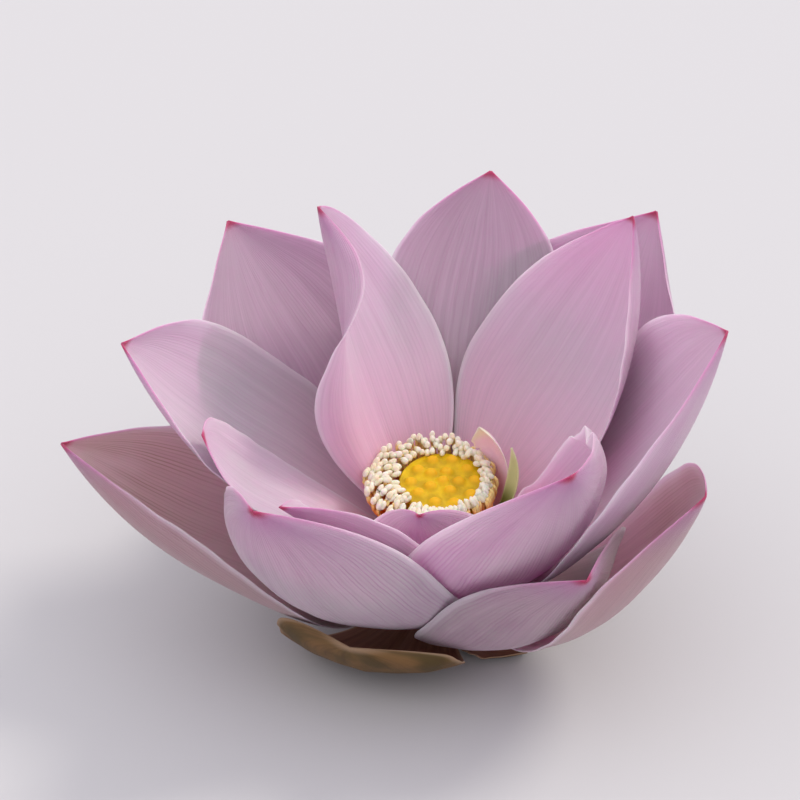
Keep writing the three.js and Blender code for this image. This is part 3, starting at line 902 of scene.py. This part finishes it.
# Radius and height up the cone's side, from the middle of its foot to the disc's edge.
RECEPTACLE_PROFILE = [
    (0, CONE_FOOT), (6.4, CONE_FOOT), (7.2, 9.4), (7.2, 22.5), (7.8, 25), (12, 37.5), (12, 39.2),
    (DISC_RADIUS, DISC_EDGE)]
CONE_STEPS = 5  # along each stretch of the profile
CONE_SIDES = 96
DISC_RINGS = 44
DISC_INWARDS = 0.995  # how far in from the disc's edge its rings go: 1 is the axis
PIN_HOLE = 0.05  # the radius of a profile's ends, which stand for points on the axis
DISC_SINK = 0.3  # how far the disc lies below its edge, but for a slight dome
DISC_DOME = 0.25

CARPEL_RINGS = [(1, 0.0), (5, 4.2), (10, 8.6)]  # how many, and how far from the middle
CARPEL_RADIUS = 1.75
CARPEL_REACH = 1.6  # how far its lift is felt, in carpel radii
CARPEL_HEIGHT = 1.2
CARPEL_STEEPNESS = 1.2
DIMPLE_DEPTH = 0.12
DIMPLE_NARROWNESS = 3.2

DISC_YELLOW = (204, 168, 2)
DISC_LEMON = (236, 198, 6)
CARPEL_ORANGE = (244, 190, 6)
NECK_GREEN = (176, 178, 104)
NECK_FROM = 30
NECK_TO = 36

# Radius and height of the stub, from the middle of its cut face to the middle of its top.
STEM_PROFILE = [
    (PIN_HOLE, 0.9), (3.7, 0.82), (3.98, 1.1), (3.9, 2.4), (3.95, 4.5), (4.0, 7.7),
    (PIN_HOLE, 7.7)]
STEM_SIDES = 64
STEM_GREEN = (96, 108, 48)
STEM_PALE = (132, 138, 72)


def carpels():
    """Where the carpels stand on the disc."""
    chance = random.Random(3)
    places = []
    for count, ring in CARPEL_RINGS:
        for k in range(count):
            angle = 2 * math.pi * (k + chance.uniform(-0.12, 0.12)) / count
            reach = ring + chance.uniform(-0.5, 0.5)
            places.append((reach * math.cos(angle), reach * math.sin(angle)))
    return places


def turned_points(rows, sides):
    """Points of a solid turned from rows of radius and height, row by row."""
    angles = np.arange(sides) * 2 * math.pi / sides
    return [(radius * math.cos(angle), radius * math.sin(angle), height)
            for radius, height in rows for angle in angles]


def cone_rows():
    """The cone's profile in short steps, without the disc's edge."""
    rows = []
    for (r0, z0), (r1, z1) in zip(RECEPTACLE_PROFILE, RECEPTACLE_PROFILE[1:]):
        for u in np.linspace(0, 1, CONE_STEPS + 1)[:-1]:
            rows.append((r0 + (r1 - r0) * u, z0 + (z1 - z0) * u))
    rows[0] = (PIN_HOLE, CONE_FOOT)
    return rows


def on_disc(x, y, z, carpels_at):
    """A point of the flat disc raised to its real height, and how far it is on a carpel."""
    z += DISC_DOME * (1 - (x * x + y * y) / DISC_RADIUS ** 2) - DISC_SINK
    stigma = 0.0
    for carpel_x, carpel_y in carpels_at:
        near = math.hypot(x - carpel_x, y - carpel_y) / CARPEL_RADIUS
        if near < CARPEL_REACH:
            lift = math.exp(-(near ** 4) * CARPEL_STEEPNESS)
            z += CARPEL_HEIGHT * lift - DIMPLE_DEPTH * math.exp(-(near * DIMPLE_NARROWNESS) ** 2)
            stigma = max(stigma, lift)
    return (x, y, z), stigma


def make_receptacle():
    """The turned cone, and a finer disc on top that rises over each carpel."""
    cone = cone_rows()
    disc = [(DISC_RADIUS * (1 - u), DISC_EDGE) for u in np.linspace(0, DISC_INWARDS, DISC_RINGS)]
    carpels_at = carpels()
    side_points = turned_points(cone, CONE_SIDES)
    top = [on_disc(*point, carpels_at) for point in turned_points(disc, CONE_SIDES)]
    points = side_points + [point for point, _ in top]
    mesh = mesh_from("receptacle", slanted(points), turned_faces(len(cone) + len(disc), CONE_SIDES))
    set_mark(mesh, "stigma", [0.0] * len(side_points) + [stigma for _, stigma in top])
    add_piece("receptacle_disc", mesh, disc_material(), "disc", "receptacle")


def disc_material():
    """Lemon to olive yellow between the carpels, orange yellow on them, greener below."""
    nodes = Nodes("disc")
    place = nodes.place()
    patch = nodes.ramp(nodes.noise(place, 260.0, 3.0), 0.35, 0.65)
    colour = nodes.mix(patch, linear(DISC_YELLOW), linear(DISC_LEMON))
    stigma = nodes.ramp(nodes.attribute("stigma"), 0.1, 1.0)
    colour = nodes.mix(stigma, colour, linear(CARPEL_ORANGE))
    low = nodes.ramp(nodes.height(place), NECK_FROM * MM, NECK_TO * MM, 1.0, 0.0)
    colour = nodes.mix(low, colour, linear(NECK_GREEN))
    nodes.bump(nodes.noise(place, 1500.0, 4.0), 0.12)
    return nodes.flesh(colour, roughness=0.6, glow=0.3, depth=1.0)


def make_stem():
    """The cut stub, slightly uneven along its side."""
    points = turned_points(STEM_PROFILE, STEM_SIDES)
    mesh = mesh_from("stem", points, turned_faces(len(STEM_PROFILE), STEM_SIDES))
    material = grained_material("stem", STEM_GREEN, STEM_PALE, 240.0, glow=0.1, roughness=0.6)
    add_piece("stem", mesh, material, "stem", "stem_stub")


# ---------------------------------------------------------------- floor, light, camera

FLOOR_REACH = 6.0
FLOOR_GREY = (0.6, 0.6, 0.61, 1)
FLOOR_ROUGHNESS = 0.9

SKY_TOP = (0.98, 0.95, 1.0, 1)
SKY_RIM = (0.42, 0.4, 0.45, 1)
SKY_STRENGTH = 1.18
SKY_TOP_FROM = 0.8  # the height in the sky, of 0 to 1, from which it is all SKY_TOP
SUN_AZIMUTH = 32
SUN_ELEVATION = 46
SUN_ENERGY = 1.25
SUN_ANGLE = 18
SUN_COLOUR = (1.0, 0.94, 0.85)

CAMERA_ELEVATION = 31
CAMERA_DISTANCE = 0.9
LENS = 150
FRAME_WIDTH = 0.216  # what the camera sees across at its target
# The disc's centre sits right of the middle of the view and below it, in metres.
DISC_RIGHT = 0.01161
DISC_BELOW = 0.02187


def make_floor():
    """A plain pale floor, at the height that the flower rests on."""
    mesh = bpy.data.meshes.new("floor")
    signs = ((-1, -1), (1, -1), (1, 1), (-1, 1))
    mesh.from_pydata([(x * FLOOR_REACH, y * FLOOR_REACH, 0) for x, y in signs], [], [(0, 1, 2, 3)])
    floor = bpy.data.objects.new("floor", mesh)
    bpy.context.scene.collection.objects.link(floor)
    material = bpy.data.materials.new("floor")
    material.use_nodes = True
    shader = material.node_tree.nodes["Principled BSDF"]
    shader.inputs["Base Color"].default_value = FLOOR_GREY
    shader.inputs["Roughness"].default_value = FLOOR_ROUGHNESS
    mesh.materials.append(material)


def make_sky():
    """Soft light from all round, stronger from above than from the horizon."""
    world = bpy.data.worlds.new("soft")
    world.use_nodes = True
    nodes = world.node_tree.nodes
    links = world.node_tree.links
    place = nodes.new("ShaderNodeTexCoord")
    parts = nodes.new("ShaderNodeSeparateXYZ")
    height = nodes.new("ShaderNodeMapRange")
    height.inputs["From Max"].default_value = SKY_TOP_FROM
    mix = nodes.new("ShaderNodeMix")
    mix.data_type = "RGBA"
    mix.inputs[6].default_value = SKY_RIM
    mix.inputs[7].default_value = SKY_TOP
    links.new(place.outputs["Generated"], parts.inputs[0])
    links.new(parts.outputs[2], height.inputs[0])
    links.new(height.outputs[0], mix.inputs[0])
    links.new(mix.outputs[2], nodes["Background"].inputs["Color"])
    nodes["Background"].inputs["Strength"].default_value = SKY_STRENGTH
    bpy.context.scene.world = world


def make_sun():
    """One broad, soft and slightly warm lamp from the back right, half way up the sky."""
    sun = bpy.data.lights.new("key", "SUN")
    sun.energy = SUN_ENERGY
    sun.angle = math.radians(SUN_ANGLE)
    sun.color = SUN_COLOUR
    key = bpy.data.objects.new("key", sun)
    bpy.context.scene.collection.objects.link(key)
    azimuth, elevation = math.radians(SUN_AZIMUTH), math.radians(SUN_ELEVATION)
    to_light = Vector((math.cos(azimuth) * math.cos(elevation),
                       math.sin(azimuth) * math.cos(elevation), math.sin(elevation)))
    key.rotation_euler = to_light.to_track_quat("Z", "Y").to_euler()


def make_camera():
    """A camera at the photograph's angle, placed from the disc's centre."""
    elevation = math.radians(CAMERA_ELEVATION)
    back = Vector((0, -math.cos(elevation), math.sin(elevation)))
    up = Vector((0, math.sin(elevation), math.cos(elevation)))
    disc = (AXIS + Vector((0, 0, DISC_HEIGHT))) * MM
    target = disc + Vector((-DISC_RIGHT, 0, 0)) + up * DISC_BELOW
    data = bpy.data.cameras.new("camera")
    data.lens = LENS
    data.sensor_width = FRAME_WIDTH / CAMERA_DISTANCE * LENS
    camera = bpy.data.objects.new("camera", data)
    camera.location = target + back * CAMERA_DISTANCE
    camera.rotation_euler = back.to_track_quat("Z", "Y").to_euler()
    bpy.context.scene.collection.objects.link(camera)
    bpy.context.scene.camera = camera


bpy.context.scene.view_settings.view_transform = "Standard"
make_camera()
make_petals()
make_sepals()
make_petaloids()
make_stamens()
make_receptacle()
make_stem()
make_floor()
make_sky()
make_sun()
